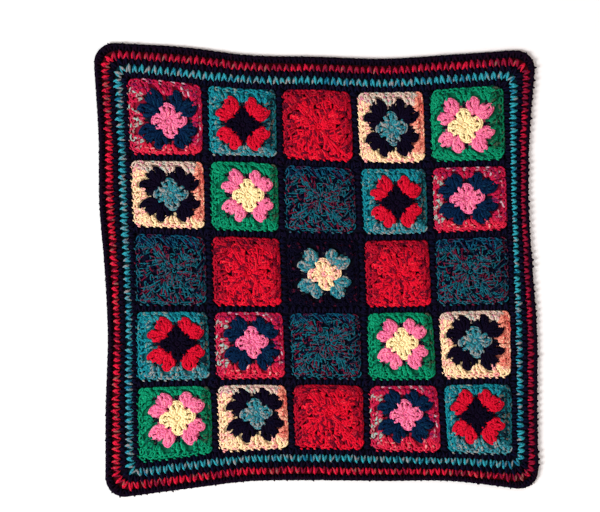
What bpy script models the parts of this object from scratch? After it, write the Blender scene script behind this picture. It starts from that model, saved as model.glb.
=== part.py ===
"""Granny square blanket, lying flat.

Twenty-five crocheted squares, the lattice that joins them and five border rounds.
Metres, +Z up. The underside lies at z = 0 and the outline is centred on the origin.
"""
import math

import bmesh
import bpy

NAME = "granny_square_blanket"

# One letter for each square, from the far row to the near one
LAYOUT = ("ABRCD", "CDTBA", "TRERT", "BATDC", "DCRAB")

# Yarn of the outer round of each kind: red, green, blue as seen, and how far its middle puffs up
KINDS = {
    "A": ((0.80, 0.16, 0.25), 0.0017),
    "B": ((0.16, 0.52, 0.55), 0.0014),
    "C": ((0.93, 0.78, 0.62), 0.0017),
    "D": ((0.07, 0.54, 0.38), 0.0014),
    "R": ((0.76, 0.08, 0.18), 0.0022),
    "T": ((0.10, 0.36, 0.38), 0.0019),
    "E": ((0.07, 0.05, 0.11), 0.0012),
}
BLACK = (0.04, 0.03, 0.07)
TEAL = (0.17, 0.50, 0.54)
RED = (0.70, 0.08, 0.16)
WOOL_ROUGHNESS = 0.95

# Edges of the squares and the seams between their columns: x at the near, middle and far row
COLUMN_STATION = 0.175
COLUMN_LINES = (
    (-0.2061, -0.2092, -0.2168),
    (-0.1162, -0.1225, -0.1273),
    (-0.0288, -0.0374, -0.0420),
    (0.0581, 0.0529, 0.0443),
    (0.1455, 0.1340, 0.1277),
    (0.2244, 0.2208, 0.2156),
)

# The same for their rows, from the far edge: y at the middle of each column, left to right
ROW_STATION = 0.173
ROW_LINES = (
    (0.2196, 0.2108, 0.2090, 0.2063, 0.2122),
    (0.1304, 0.1292, 0.1241, 0.1212, 0.1235),
    (0.0464, 0.0430, 0.0407, 0.0389, 0.0424),
    (-0.0428, -0.0433, -0.0444, -0.0444, -0.0421),
    (-0.1293, -0.1272, -0.1272, -0.1284, -0.1266),
    (-0.2169, -0.2066, -0.2045, -0.2071, -0.2097),
)

# Outer edge: its coordinate at seven even places along each side, from low to high x or y
OUTLINE_STATION = 0.230
OUTLINE_LEFT = (-0.2424, -0.2421, -0.2399, -0.2434, -0.2496, -0.2504, -0.2550)
OUTLINE_RIGHT = (0.2550, 0.2536, 0.2538, 0.2487, 0.2439, 0.2447, 0.2506)
OUTLINE_NEAR = (-0.2610, -0.2510, -0.2418, -0.2407, -0.2415, -0.2416, -0.2500)
OUTLINE_FAR = (0.2618, 0.2573, 0.2480, 0.2463, 0.2440, 0.2484, 0.2538)
OUTLINE_CORNER = 0.10
BORDER_INNER_CORNER = 0.036
LATTICE_CORNER = 0.070

# Border rounds from the inside out: name, colour, share of the border's width
ROUNDS = (
    ("border_black_inner", BLACK, 0.18),
    ("border_teal", TEAL, 0.20),
    ("border_black_middle", BLACK, 0.19),
    ("border_red", RED, 0.20),
    ("border_black_outer", BLACK, 0.23),
)
ROUND_EDGE = 0.0032
ROUND_RISE = 0.0013
ROUND_SHOULDER = 0.0014

# Squares
JOIN_WIDTH = 0.0084
SQUARE_CORNER = 0.26
SQUARE_EDGE = 0.0036
SQUARE_SHOULDER = 0.0018
SQUARE_RISE = 0.0009
GAP_SHOULDER = 0.0009
JOIN_THICKNESS = 0.0034

# Through gaps of one quarter of a square: place from its middle in half widths, and reach each way
QUARTER_GAPS = (
    ("side", 0.0, 0.575, 0.0027, 0.0024),
    ("corner", 0.59, 0.59, 0.0023, 0.0023),
)

CLEARANCE = 0.0003
SQUARE_CORNER_STEPS = 2
SQUARE_SIDE_STEPS = 2
BORDER_CORNER_STEPS = 4
BORDER_SIDE_STEPS = 10
WELD = 0.000001
SNAP = 0.0004
SMOOTH_ANGLE = math.radians(40)


def along(values, place):
    """Smooth curve through values at even places from -1 to 1, straight beyond them."""
    last = len(values) - 1
    position = (place + 1) * last / 2
    index = min(max(math.floor(position), 0), last - 1)
    share = position - index
    start, end = values[index], values[index + 1]
    if share < 0 or share > 1:
        return start + (end - start) * share
    before = values[index - 1] if index > 0 else 2 * start - end
    after = values[index + 2] if index + 2 <= last else 2 * end - start
    slope_in, slope_out = (end - before) / 2, (after - start) / 2
    bend = share * share
    return (
        start * (1 - 3 * bend + 2 * bend * share)
        + end * (3 * bend - 2 * bend * share)
        + slope_in * (share - 2 * bend + bend * share)
        + slope_out * (bend * share - bend)
    )


def line(values, station, shift=0.0):
    """An edge as a function of the place along it."""
    return lambda place: along(values, place / station) + shift


def place_between(edges, a, b):
    """Point at (a, b), each from -1 to 1, between a left, right, near and far edge."""
    left, right, near, far = edges
    x = y = 0.0
    for _ in range(8):
        x = (left(y) * (1 - a) + right(y) * (1 + a)) / 2
        y = (near(x) * (1 - b) + far(x) * (1 + b)) / 2
    return x, y


def rounded_square(corner, corner_steps, side_steps):
    """Points (a, b) round a square from -1 to 1 with round corners, anticlockwise."""
    reach = 1 - corner
    quarter = []
    for step in range(corner_steps + 1):
        angle = math.radians(90 * step / corner_steps)
        quarter.append((reach + corner * math.cos(angle), reach + corner * math.sin(angle)))
    for step in range(1, side_steps):
        quarter.append((reach - 2 * reach * step / side_steps, 1.0))
    points = []
    for _ in range(4):
        points.extend(quarter)
        quarter = [(-b, a) for a, b in quarter]
    return points


def border_loop(edges, corner):
    """Closed loop of points on four edges of the border."""
    places = rounded_square(corner, BORDER_CORNER_STEPS, BORDER_SIDE_STEPS)
    return [place_between(edges, a, b) for a, b in places]


def square_loop(edges):
    """Closed loop of points on the four edges of a square."""
    places = rounded_square(SQUARE_CORNER, SQUARE_CORNER_STEPS, SQUARE_SIDE_STEPS)
    return [place_between(edges, a, b) for a, b in places]


def shifted(loop, shift):
    """A loop moved by a shift."""
    return [(x + shift[0], y + shift[1]) for x, y in loop]


def grown(loop, distance):
    """A loop moved outward by a distance."""
    moved = []
    for index, (x, y) in enumerate(loop):
        before, after = loop[index - 1], loop[(index + 1) % len(loop)]
        run, rise = after[0] - before[0], after[1] - before[1]
        length = math.hypot(run, rise)
        moved.append((x + distance * rise / length, y - distance * run / length))
    return moved


def outline_edges():
    """The four outer edges of the border."""
    sides = (OUTLINE_LEFT, OUTLINE_RIGHT, OUTLINE_NEAR, OUTLINE_FAR)
    return [line(side, OUTLINE_STATION) for side in sides]


def grid_edges():
    """The four outer edges of the squares together."""
    return (
        line(COLUMN_LINES[0], COLUMN_STATION),
        line(COLUMN_LINES[-1], COLUMN_STATION),
        line(ROW_LINES[-1], ROW_STATION),
        line(ROW_LINES[0], ROW_STATION),
    )


def square_edges(row, column):
    """The four edges of one square, half a join inside each seam."""
    last = len(LAYOUT) - 1
    inset = JOIN_WIDTH / 2
    return (
        line(COLUMN_LINES[column], COLUMN_STATION, inset if column > 0 else 0.0),
        line(COLUMN_LINES[column + 1], COLUMN_STATION, -inset if column < last else 0.0),
        line(ROW_LINES[row + 1], ROW_STATION, inset if row < last else 0.0),
        line(ROW_LINES[row], ROW_STATION, -inset if row > 0 else 0.0),
    )


def middle_shift():
    """Shift that brings the middle of the outline to the origin."""
    loop = border_loop(outline_edges(), OUTLINE_CORNER)
    xs, ys = [x for x, _ in loop], [y for _, y in loop]
    return -(min(xs) + max(xs)) / 2, -(min(ys) + max(ys)) / 2


def linear(channel):
    """A colour channel as seen, turned into the light it stands for."""
    if channel <= 0.04045:
        return channel / 12.92
    return ((channel + 0.055) / 1.055) ** 2.4


def wool(name, colour):
    """Matt yarn of one colour."""
    material = bpy.data.materials.new(name)
    material.use_nodes = True
    shader = material.node_tree.nodes["Principled BSDF"]
    shader.inputs["Base Color"].default_value = (*[linear(channel) for channel in colour], 1.0)
    shader.inputs["Roughness"].default_value = WOOL_ROUGHNESS
    shader.inputs["Metallic"].default_value = 0.0
    return material


def new_collection(name):
    """A collection in the scene."""
    collection = bpy.data.collections.new(name)
    bpy.context.scene.collection.children.link(collection)
    return collection


def face_out(shape):
    """Turns every face of a closed shape outward."""
    bmesh.ops.recalc_face_normals(shape, faces=shape.faces)
    if shape.calc_volume(signed=True) < 0:
        bmesh.ops.reverse_faces(shape, faces=shape.faces)


def plate_mesh(name, loops, thickness, base=0.0):
    """Flat plate between outlines, as a mesh with its underside at the base height."""
    curve = bpy.data.curves.new(name, "CURVE")
    curve.dimensions = "2D"
    curve.fill_mode = "BOTH"
    curve.extrude = thickness / 2
    for loop in loops:
        spline = curve.splines.new("POLY")
        spline.points.add(len(loop) - 1)
        spline.use_cyclic_u = True
        for point, (x, y) in zip(spline.points, loop):
            point.co = (x, y, 0.0, 1.0)
    holder = bpy.data.objects.new(name + "_outline", curve)
    bpy.context.scene.collection.objects.link(holder)
    depsgraph = bpy.context.evaluated_depsgraph_get()
    mesh = bpy.data.meshes.new_from_object(holder.evaluated_get(depsgraph))
    bpy.data.objects.remove(holder)
    shape = bmesh.new()
    shape.from_mesh(mesh)
    bmesh.ops.remove_doubles(shape, verts=shape.verts, dist=WELD)
    bmesh.ops.translate(shape, verts=shape.verts, vec=(0.0, 0.0, base + thickness / 2))
    face_out(shape)
    shape.to_mesh(mesh)
    shape.free()
    return mesh


def at_height(loop, height):
    """A loop of points lifted to a height."""
    return [(x, y, height) for x, y in loop]


def rounded_stack(loop, edge, shoulder, rise):
    """Loops up one wall: straight up to the edge height, then drawn in and lifted."""
    return (
        at_height(loop, 0.0),
        at_height(loop, edge),
        at_height(grown(loop, -shoulder), edge + rise),
    )


def band(shape, lower, upper):
    """A loft between two rings of as many points each."""
    for index in range(len(lower)):
        shape.faces.new((lower[index - 1], lower[index], upper[index], upper[index - 1]))


def walls(shape, stacks):
    """Walls up each stack of loops. Returns the lowest and the highest ring of every stack."""
    lowest, highest = [], []
    for stack in stacks:
        rings = [[shape.verts.new(point) for point in loop] for loop in stack]
        for lower, upper in zip(rings, rings[1:]):
            band(shape, lower, upper)
        lowest.append(rings[0])
        highest.append(rings[-1])
    return lowest, highest


def filled(shape, rings):
    """Closes the flat area between rings of points. Returns its faces."""
    edges = []
    for ring in rings:
        edges.extend(shape.edges.get((vert, ring[index - 1])) for index, vert in enumerate(ring))
    cap = bmesh.ops.triangle_fill(shape, use_beauty=True, edges=edges)["geom"]
    return [item for item in cap if isinstance(item, bmesh.types.BMFace)]


def puffed_top(shape, faces, middle, half, puff):
    """Cuts the top across its middle both ways and lifts it like a cushion."""
    for direction in ((1, 0, 0), (0, 1, 0)):
        edges = {edge for face in faces for edge in face.edges}
        verts = {vert for face in faces for vert in face.verts}
        cut = bmesh.ops.bisect_plane(
            shape,
            geom=[*verts, *edges, *faces],
            dist=SNAP,
            plane_co=(*middle, 0.0),
            plane_no=direction,
        )
        faces = [item for item in cut["geom"] if isinstance(item, bmesh.types.BMFace)]
    faces = bmesh.ops.triangulate(shape, faces=faces)["faces"]
    for vert in {vert for face in faces for vert in face.verts}:
        a = min(abs(vert.co.x - middle[0]) / half[0], 1.0)
        b = min(abs(vert.co.y - middle[1]) / half[1], 1.0)
        vert.co.z += puff * (1 - a * a) * (1 - b * b)


def finished_mesh(name, shape):
    """A mesh of triangles from the shape, shaded smooth except at sharp edges."""
    bmesh.ops.triangulate(shape, faces=shape.faces)
    face_out(shape)
    mesh = bpy.data.meshes.new(name)
    shape.to_mesh(mesh)
    shape.free()
    mesh.shade_smooth()
    mesh.set_sharp_from_angle(angle=SMOOTH_ANGLE)
    return mesh


def add_piece(name, mesh, material, collection):
    """An object of its own for one piece."""
    mesh.name = name
    mesh.materials.clear()
    mesh.materials.append(material)
    piece = bpy.data.objects.new(name, mesh)
    collection.objects.link(piece)
    return piece


def gap_loops(edges, half):
    """The through gaps of a square, a diamond each, four of each sort."""
    loops = []
    for _, a, b, across, outward in QUARTER_GAPS:
        reach = math.hypot(a, b)
        for quarter in range(4):
            angle = math.atan2(b, a) + quarter * math.pi / 2
            out = (math.cos(angle), math.sin(angle))
            tips = ((outward, 0.0), (0.0, across), (-outward, 0.0), (0.0, -across))
            loops.append(
                [
                    place_between(
                        edges,
                        out[0] * (reach + far / half) - out[1] * aside / half,
                        out[1] * (reach + far / half) + out[0] * aside / half,
                    )
                    for far, aside in tips
                ]
            )
    return loops


def make_square(row, column, shift, material, collection):
    """One square: a puffed plate with round corners and its through gaps."""
    edges = square_edges(row, column)
    puff = KINDS[LAYOUT[row][column]][1]
    outline = shifted(square_loop(edges), shift)
    middle = shifted([place_between(edges, 0.0, 0.0)], shift)[0]
    half_x = (max(x for x, _ in outline) - min(x for x, _ in outline)) / 2
    half_y = (max(y for _, y in outline) - min(y for _, y in outline)) / 2
    stacks = [rounded_stack(outline, SQUARE_EDGE, SQUARE_SHOULDER, SQUARE_RISE)]
    for gap in gap_loops(edges, (half_x + half_y) / 2):
        stacks.append(rounded_stack(shifted(gap, shift), SQUARE_EDGE, -GAP_SHOULDER, SQUARE_RISE))
    shape = bmesh.new()
    lowest, highest = walls(shape, stacks)
    filled(shape, lowest)
    puffed_top(shape, filled(shape, highest), middle, (half_x, half_y), puff)
    name = f"square_r{row + 1}_c{column + 1}"
    return add_piece(name, finished_mesh(name, shape), material, collection)


def make_round(name, shares, loops, material, collection):
    """One border round, a ring between two shares of the border's width."""
    stacks = []
    for share, gap, shoulder in zip(shares, (CLEARANCE, -CLEARANCE), (-1, 1)):
        loop = [
            (x0 + (x1 - x0) * share, y0 + (y1 - y0) * share)
            for (x0, y0), (x1, y1) in zip(*loops)
        ]
        rim = grown(loop, gap / 2)
        stacks.append(rounded_stack(rim, ROUND_EDGE, shoulder * ROUND_SHOULDER, ROUND_RISE))
    shape = bmesh.new()
    for inner, outer in walls(shape, stacks):
        band(shape, inner, outer)
    return add_piece(name, finished_mesh(name, shape), material, collection)


def make_border(shift, materials, collection):
    """The five border rounds."""
    inside = shifted(border_loop(grid_edges(), BORDER_INNER_CORNER), shift)
    outside = shifted(border_loop(outline_edges(), OUTLINE_CORNER), shift)
    inside = grown(inside, CLEARANCE)
    inner_share = 0.0
    for name, colour, share in ROUNDS:
        shares = (inner_share, inner_share + share)
        make_round(name, shares, (inside, outside), materials[colour], collection)
        inner_share += share


def make_lattice(shift, material, collection, cutters):
    """The joins between the squares: one plate with a window for each square."""
    outline = shifted(border_loop(grid_edges(), LATTICE_CORNER), shift)
    mesh = plate_mesh("join_lattice", [grown(outline, -CLEARANCE)], JOIN_THICKNESS)
    lattice = add_piece("join_lattice", mesh, material, collection)
    for row in range(len(LAYOUT)):
        for column in range(len(LAYOUT[row])):
            window = shifted(square_loop(square_edges(row, column)), shift)
            name = f"window_r{row + 1}_c{column + 1}"
            loops = [grown(window, CLEARANCE)]
            window_mesh = plate_mesh(name, loops, 3 * JOIN_THICKNESS, -JOIN_THICKNESS)
            cutter = bpy.data.objects.new(name, window_mesh)
            cutter.hide_render = True
            cutter.display_type = "WIRE"
            cutters.objects.link(cutter)
    windows = lattice.modifiers.new("windows", "BOOLEAN")
    windows.operation = "DIFFERENCE"
    windows.operand_type = "COLLECTION"
    windows.collection = cutters
    windows.solver = "EXACT"
    return lattice


def main():
    """Clears the scene and makes the blanket."""
    for item in list(bpy.data.objects):
        bpy.data.objects.remove(item)
    collection = new_collection(NAME)
    cutters = new_collection("cutters")
    shift = middle_shift()
    kinds = {kind: wool(f"wool_{kind}", colour) for kind, (colour, _) in KINDS.items()}
    names = {BLACK: "wool_black", TEAL: "wool_teal", RED: "wool_red"}
    yarns = {colour: wool(name, colour) for colour, name in names.items()}
    for row, letters in enumerate(LAYOUT):
        for column, letter in enumerate(letters):
            make_square(row, column, shift, kinds[letter], collection)
    make_lattice(shift, yarns[BLACK], collection, cutters)
    make_border(shift, yarns, collection)


main()
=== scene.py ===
import math

import bpy
import numpy as np
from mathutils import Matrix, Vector


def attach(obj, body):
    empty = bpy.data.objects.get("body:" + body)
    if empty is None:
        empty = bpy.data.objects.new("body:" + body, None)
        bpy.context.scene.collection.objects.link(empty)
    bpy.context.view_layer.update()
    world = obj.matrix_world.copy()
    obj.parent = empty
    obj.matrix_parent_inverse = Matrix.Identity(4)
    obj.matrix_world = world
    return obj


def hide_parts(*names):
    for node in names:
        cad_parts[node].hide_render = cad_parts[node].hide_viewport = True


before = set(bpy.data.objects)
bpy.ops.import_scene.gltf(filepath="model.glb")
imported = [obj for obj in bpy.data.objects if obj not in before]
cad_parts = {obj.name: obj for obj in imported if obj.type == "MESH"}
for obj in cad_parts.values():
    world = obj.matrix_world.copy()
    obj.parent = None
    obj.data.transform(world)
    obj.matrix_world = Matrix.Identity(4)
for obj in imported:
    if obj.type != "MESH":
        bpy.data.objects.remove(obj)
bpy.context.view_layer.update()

BODY = "root"
MM = 0.001

# The grid of the blanket, as in its solids, in metres
LAYOUT = ("ABRCD", "CDTBA", "TRERT", "BATDC", "DCRAB")
COUNT = len(LAYOUT)
COLUMN_STATION = 0.175
COLUMN_LINES = (
    (-0.2061, -0.2092, -0.2168),
    (-0.1162, -0.1225, -0.1273),
    (-0.0288, -0.0374, -0.0420),
    (0.0581, 0.0529, 0.0443),
    (0.1455, 0.1340, 0.1277),
    (0.2244, 0.2208, 0.2156),
)
ROW_STATION = 0.173
ROW_LINES = (
    (0.2196, 0.2108, 0.2090, 0.2063, 0.2122),
    (0.1304, 0.1292, 0.1241, 0.1212, 0.1235),
    (0.0464, 0.0430, 0.0407, 0.0389, 0.0424),
    (-0.0428, -0.0433, -0.0444, -0.0444, -0.0421),
    (-0.1293, -0.1272, -0.1272, -0.1284, -0.1266),
    (-0.2169, -0.2066, -0.2045, -0.2071, -0.2097),
)
OUTLINE_STATION = 0.230
OUTLINE = (
    (-0.2424, -0.2421, -0.2399, -0.2434, -0.2496, -0.2504, -0.2550),
    (0.2550, 0.2536, 0.2538, 0.2487, 0.2439, 0.2447, 0.2506),
    (-0.2610, -0.2510, -0.2418, -0.2407, -0.2415, -0.2416, -0.2500),
    (0.2618, 0.2573, 0.2480, 0.2463, 0.2440, 0.2484, 0.2538),
)
OUTLINE_CORNER = 0.10
GRID_CORNER = 0.036
JOIN_WIDTH = 0.0084

# How far the middle of each square lies right of and above the middle of its edges, in mm
CENTRE_RIGHT = (
    (4.5, 0.5, 1.4, 0.3, -3.5),
    (3.5, 4.5, 1.4, 2.5, -4.0),
    (4.5, 3.0, 1.4, 1.4, -3.0),
    (5.5, 3.0, 1.4, 1.4, -1.2),
    (3.5, 3.8, 1.4, 1.5, -2.5),
)
CENTRE_UP = (
    (-4.5, -3.5, -3.0, -2.0, -2.8),
    (-0.3, 0.8, -0.2, -1.2, 0.0),
    (-1.5, -1.5, -1.5, -1.5, -1.5),
    (3.0, 3.8, 3.3, 3.2, 3.0),
    (5.5, 4.8, 4.7, 4.6, 3.8),
)

# Kinds of squares: yarns of the first two rounds, yarns of the outer round's far, right, near and
# left side, slot of the outer round, puff in mm, size of the second round's petals, and radius in mm
# of the loose strands of squares in one yarn
# Some side yarns are darker copies of a square's outer yarn, painted shade: on the far side of A, C, R
# and T squares, the right side of A, B, C, D, R and T squares and the left side of R; A's near side has
# a lighter copy, painted light
KINDS = {
    "A": (
        ("pink", "navy"),
        ("red_marl", "red_marl", "red_bright", "grey_marl"), "red_marl_wool", 1.7, 1.04, None,
    ),
    "B": (("black", "red"), ("teal", "teal_shade", "grey_teal", "teal"), "teal_wool", 1.4, 1.0, None),
    "C": (
        ("grey_teal", "black"),
        ("mint_cream", "salmon_cream", "cream", "cream"), "cream_wool", 1.7, 1.08, None,
    ),
    "D": (
        ("pale_cream", "pink"),
        ("green", "green_shade", "green", "green"), "green_wool", 1.4, 0.93, None,
    ),
    "R": (
        ("red_mixed", "red_mixed"),
        ("red_shade", "red_shade", "red_mixed", "red_shade"), "red_wool", 2.2, 1.0, 1.36,
    ),
    "T": (
        ("dark_teal", "dark_teal"),
        ("teal_deep", "teal_night", "dark_teal", "dark_teal"), "dark_teal_wool", 1.9, 1.0, 0.78,
    ),
    "E": (("cream", "grey_teal"), ("plum_black",) * 4, "black_wool", 1.2, 0.88, None),
}

# Yarns: three colours as seen, the shares of the second and third, how little one strand's colour
# follows its neighbour's, and how strongly the yarn is plied
YARNS = {
    "pink": ((240, 116, 158), (255, 140, 168), (205, 72, 124), 0.35, 0.22, 0.4, 0.3),
    "navy": ((5, 32, 64), (9, 50, 78), (2, 14, 38), 0.30, 0.35, 1.0, 0.3),
    "black": ((11, 5, 24), (15, 5, 26), (7, 5, 26), 0.30, 0.30, 1.0, 0.2),
    "blue_black": ((12, 9, 31), (18, 7, 27), (6, 11, 36), 0.30, 0.30, 1.0, 0.2),
    "outer_black": ((16, 5, 22), (26, 6, 22), (9, 5, 24), 0.30, 0.30, 1.0, 0.2),
    "plum_black": ((8, 6, 26), (80, 16, 38), (5, 4, 20), 0.20, 0.40, 5.0, 0.2),
    "red": ((204, 15, 44), (218, 26, 56), (136, 12, 36), 0.30, 0.16, 0.5, 0.3),
    "red_mixed": ((214, 16, 44), (104, 10, 34), (232, 44, 60), 0.42, 0.16, 1.5, 0.15),
    "red_shade": ((172, 14, 40), (84, 10, 32), (190, 34, 52), 0.46, 0.20, 1.5, 0.15),
    # Marled red of the A squares' far and right sides, darker than on their near side: painted shade
    "red_marl": ((184, 26, 66), (196, 162, 174), (120, 24, 74), 0.28, 0.36, 3.0, 0.15),
    # Marled red of the A squares' near side, lighter than on their far and right sides: painted light
    "red_bright": ((210, 36, 66), (240, 152, 150), (186, 30, 66), 0.34, 0.24, 3.0, 0.15),
    "grey_marl": ((190, 28, 66), (154, 180, 170), (200, 66, 100), 0.44, 0.24, 3.0, 0.15),
    "teal": ((22, 130, 142), (124, 146, 142), (8, 74, 102), 0.24, 0.34, 1.6, 0.4),
    "grey_teal": ((46, 130, 142), (146, 146, 144), (18, 86, 108), 0.44, 0.30, 1.6, 0.4),
    "dark_teal": ((20, 98, 114), (104, 20, 48), (4, 8, 36), 0.46, 0.44, 0.9, 0.10),
    # Darker copies of dark_teal for the T squares' right and far sides: painted shade
    "teal_night": ((16, 78, 96), (84, 16, 40), (4, 8, 34), 0.48, 0.52, 0.9, 0.10),
    "teal_deep": ((14, 84, 112), (64, 20, 52), (4, 12, 44), 0.36, 0.46, 0.9, 0.10),
    "teal_shade": ((20, 96, 106), (92, 84, 76), (10, 30, 44), 0.36, 0.44, 1.6, 0.3),
    "green": ((10, 138, 98), (22, 158, 114), (8, 80, 66), 0.30, 0.26, 1.6, 0.4),
    "green_shade": ((10, 112, 76), (70, 72, 60), (12, 52, 42), 0.34, 0.40, 1.6, 0.3),
    "cream": ((252, 222, 172), (248, 156, 160), (250, 190, 170), 0.34, 0.30, 1.2, 0.4),
    # Darker, bluer copy of the C squares' cream, with mint strands, for their far side: painted shade
    "mint_cream": ((216, 190, 172), (156, 176, 164), (204, 112, 144), 0.40, 0.34, 2.0, 0.15),
    # Darker, salmon-tinted copy of the C squares' cream for their right side: warm painted shade
    "salmon_cream": ((230, 138, 118), (214, 92, 84), (244, 196, 164), 0.40, 0.30, 1.2, 0.3),
    "pale_cream": ((255, 232, 174), (255, 236, 184), (248, 210, 152), 0.25, 0.10, 0.5, 0.2),
    "border_red": ((210, 24, 56), (122, 16, 46), (134, 84, 80), 0.46, 0.18, 0.25, 0.5),
    # Darker copy of border_red for the far side's leaves and the right side: painted shade
    "border_red_dark": ((138, 18, 48), (190, 22, 54), (92, 22, 48), 0.34, 0.30, 0.25, 0.5),
    "border_teal": ((44, 150, 164), (16, 96, 128), (138, 134, 136), 0.40, 0.24, 0.6, 0.5),
    "border_teal_leg": ((46, 138, 154), (136, 134, 134), (18, 92, 120), 0.42, 0.26, 1.0, 0.5),
}

# Turns of the plies to a mm of yarn, how many plies, and how fast the second and the third colour
# change along a mm
PLY_TURNS = 0.16
PLIES = 2
SLOW_CHANGE = 0.06
QUICK_CHANGE = 0.11

# Border rounds from the inside out: node, yarns of a stitch's leaf, of its leg, of its leaf on the
# far side and of both on the right side, slot, share of the border's width, reach of a stitch as a
# share of the round's width, and its lift in mm
# In the red round the far side's leaves and the whole right side take a darker yarn: painted shade
ROUNDS = (
    ("border_black_inner", ("blue_black",) * 4, "black_wool", 0.18, 0.46, -0.3),
    (
        "border_teal", ("border_teal", "border_teal_leg", "border_teal", "border_teal"),
        "teal_wool", 0.20, 0.46, 0.2,
    ),
    (
        "border_black_middle", ("blue_black", "outer_black", "blue_black", "blue_black"),
        "black_wool", 0.19, 0.48, -0.3,
    ),
    (
        "border_red", ("border_red", "border_red", "border_red_dark", "border_red_dark"),
        "red_wool", 0.20, 0.44, 0.2,
    ),
    ("border_black_outer", ("outer_black",) * 4, "black_wool", 0.23, 0.34, -0.1),
)
# How straight along a side a stitch has to lie to count as on it
STRAIGHT = 0.8
BORDER_STITCH = 7.35 * MM
JOIN_STITCH = 7.4 * MM
# Reach of a joining stitch as a share of the join's width, and its lift in mm
JOIN_REACH = 0.40
JOIN_LIFT = -0.9
# Cords along the outline: distance inside it, height and radius in mm, then how far they sway aside
# in mm and their points to one border stitch
EDGE_CORDS = ((1.35, 2.0, 1.25), (3.3, 3.1, 1.35))
EDGE_WAVE = 0.22
EDGE_STEPS = 3

# How far the rounds lie outward of even shares of the border's width, in mm: share, left, right,
# near, far
SIDE_SHIFTS = (
    (0.00, -1.4, 0.5, -0.9, -1.0),
    (0.28, -1.6, 1.5, 0.0, -1.3),
    (0.67, -0.6, 2.3, 0.0, -1.0),
    (1.00, 0.0, 0.0, 0.0, 0.0),
)

# A single stitch of the border and the joins: strands from start to end, each point as shares of the
# pitch along the row and of the reach across it, then its height and radius in mm
SINGLE_LEAF = (
    (-0.13, 1.34, 2.4, 0.55),
    (-0.04, 0.95, 3.3, 1.25),
    (0.06, 0.45, 3.8, 1.65),
    (0.10, 0.00, 3.9, 1.65),
    (0.17, -0.48, 3.4, 1.25),
    (0.25, -0.92, 2.8, 0.85),
    (0.36, -1.30, 2.3, 0.55),
)
SINGLE_LEG = (
    (-0.14, 0.85, 2.7, 0.90),
    (-0.20, 0.30, 3.2, 1.40),
    (-0.25, -0.25, 3.3, 1.45),
    (-0.31, -0.75, 3.0, 1.15),
    (-0.38, -1.20, 2.4, 0.60),
)
# How unevenly single stitches are worked: place in mm, tilt and pitch of a stitch, then reach, lean,
# height in mm and radius of a strand
PLACE_UNEVEN = 0.35
TILT_UNEVEN = 0.10
PITCH_UNEVEN = 0.07
REACH_UNEVEN = 0.10
LEAN_UNEVEN = 0.04
HEIGHT_UNEVEN = 0.15
RADIUS_UNEVEN = 0.08

# One quarter of a square in mm from its middle, half a side being HALF_SQUARE:
# for each round its clusters of stitches, a foot and three heads each, clockwise
HALF_SQUARE = 39.7
QUARTER = (
    (((0.0, 3.4), ((-7.2, 14.2), (0.0, 17.6), (7.2, 14.2))),),
    (
        ((-10.4, 12.4), ((-17.2, 27.2), (-11.8, 30.0), (-5.4, 24.8))),
        ((10.4, 12.4), ((5.4, 24.8), (11.8, 30.0), (17.2, 27.2))),
    ),
    (
        ((-23.6, 26.4), ((-31.8, 35.9), (-25.6, 36.9), (-17.6, 36.9))),
        ((0.0, 26.4), ((-7.6, 36.9), (0.0, 37.1), (7.6, 36.9))),
        ((23.6, 26.4), ((17.6, 36.9), (25.6, 36.9), (31.8, 35.9))),
    ),
)
# Strands on the diagonal that fill the corners of the first two rounds, a foot and a head each
FILLERS = (((2.6, 2.6), (8.2, 8.2)), ((12.8, 12.8), (22.0, 22.0)))
# How far each of a filler's two strands lies aside, in mm, where its head is FILLER_FAR out
FILLER_SWAY = 1.2
FILLER_FAR = 25
# Loops between the clusters of the outer round and at its corner
OUTER_CHAINS = ((-12.6, 37.3), (12.6, 37.3), (34.4, 34.4))
# Degrees by which heads and feet are turned anticlockwise, and how unevenly: in degrees for a whole
# square, then in mm for each head, foot and chain
HEAD_TURN = 4.5
FOOT_TURN = -2.0
TURN_UNEVEN = 0.9
HEAD_UNEVEN = 0.30
FOOT_UNEVEN = 0.25
CHAIN_UNEVEN = 0.25
# How wide the foot of a cluster is beside its heads, round by round
FOOT_SPREAD = (0.30, 0.30, 0.46)
# Radius of a post's strands and how far they wind about its middle, in mm, round by round
POSTS = ((1.50, 1.25), (1.60, 1.30), (1.42, 1.15))
# Height of a post's foot, its rise and how far the twist lifts its strands, in mm, and its turns
POST_HEIGHT = 1.9
POST_RISE = 1.25
TWIST_LIFT = 0.55
TWIST_TURNS = 0.9
POST_STEPS = 8
# How far up a post its wrap lies, as a share
WRAP_PLACE = 0.56
WRAP_STEPS = 5
# Height and rise of a loose post, and how far its outer strands lie aside, in mm
LOOSE_HEIGHT = 2.3
LOOSE_RISE = 1.1
LOOSE_ASIDE = 2.3
LOOSE_STEPS = 6
# How far a post falls to its head, in mm: in the first two rounds, in their fillers, in the last
INNER_DROP = 0.3
FILLER_DROP = 0.5
OUTER_DROP = 1.5
# Cords along the rim of a cluster: distance outside its heads, height and radius in mm, then how far
# they run down its outer stitches, as a share of those
RIM_CORDS = ((1.0, 2.5, 1.30), (-1.0, 3.3, 1.20))
RIM_REACH = 0.42
RIM_STEPS = 15
# The loop on top of a stitch, in mm: half its length and width, how far out it lies, the radius of
# its yarn, and its height in the first two rounds and in the last
LOOP_LENGTH = 3.4
LOOP_WIDTH = 1.45
LOOP_OUT = 0.3
LOOP_RADIUS = 1.15
LOOP_STEPS = 11
INNER_LOOP_HEIGHT = 2.9
OUTER_LOOP_HEIGHT = 2.5
# The ring in the middle of a square: radius, height and radius of its yarn, in mm
RING = (1.8, 2.9, 1.6)
RING_STEPS = 12
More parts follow.
